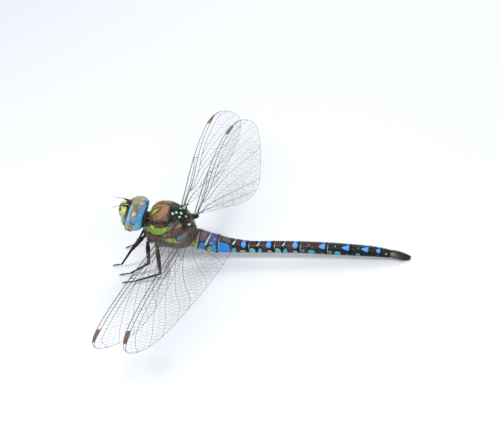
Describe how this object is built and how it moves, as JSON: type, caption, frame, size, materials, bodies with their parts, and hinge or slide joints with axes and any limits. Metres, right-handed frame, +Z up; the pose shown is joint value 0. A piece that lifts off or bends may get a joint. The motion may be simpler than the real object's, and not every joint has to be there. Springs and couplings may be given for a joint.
{
  "type": "dragonfly",
  "caption": "Life-size still model of a male migrant hawker dragonfly, blue-spotted, resting on its feet with clear wings spread.",
  "frame": {"origin": "the middle of the underside of the box round the whole insect, on the ground it stands on", "axes": "+Z up, +X towards the tail, -X towards the face, -Y towards the insect's left side, so the wings span Y"},
  "size_m": [0.0622, 0.0834, 0.0148],
  "materials": {
    "eye": "sky-blue and olive compound eyes, smooth and glossy with fine facets",
    "face": "satin pale yellow-green face with a black mark",
    "dark_shell": "satin black to dark brown shell",
    "thorax": "brown shell with green and blue stripes under short grey-brown hair",
    "abdomen": "satin dark brown segments with paired blue spots",
    "wing": "clear membrane with dark veins and a brown cell near the tip"
  },
  "bodies": {
    "root": {"abdomen_01": "abdomen", "abdomen_02": "abdomen", "abdomen_03": "abdomen", "abdomen_04": "abdomen", "abdomen_05": "abdomen", "abdomen_06": "abdomen", "abdomen_07": "abdomen", "abdomen_08": "abdomen", "abdomen_09": "abdomen", "abdomen_10": "abdomen", "antenna_left": "dark_shell", "antenna_right": "dark_shell", "clasper_left": "dark_shell", "clasper_lower": "dark_shell", "clasper_right": "dark_shell", "eye_left": "eye", "eye_right": "eye", "forewing_left": "wing", "forewing_right": "wing", "head_clypeus": "face", "head_frons": "face", "head_labrum": "face", "head_skull": "dark_shell", "hindwing_left": "wing", "hindwing_right": "wing", "leg_front_left_femur": "dark_shell", "leg_front_left_tarsus": "dark_shell", "leg_front_left_tibia": "dark_shell", "leg_front_right_femur": "dark_shell", "leg_front_right_tarsus": "dark_shell", "leg_front_right_tibia": "dark_shell", "leg_hind_left_femur": "dark_shell", "leg_hind_left_tarsus": "dark_shell", "leg_hind_left_tibia": "dark_shell", "leg_hind_right_femur": "dark_shell", "leg_hind_right_tarsus": "dark_shell", "leg_hind_right_tibia": "dark_shell", "leg_middle_left_femur": "dark_shell", "leg_middle_left_tarsus": "dark_shell", "leg_middle_left_tibia": "dark_shell", "leg_middle_right_femur": "dark_shell", "leg_middle_right_tarsus": "dark_shell", "leg_middle_right_tibia": "dark_shell", "neck": "dark_shell", "thorax": "thorax"}
  },
  "joints": []
}
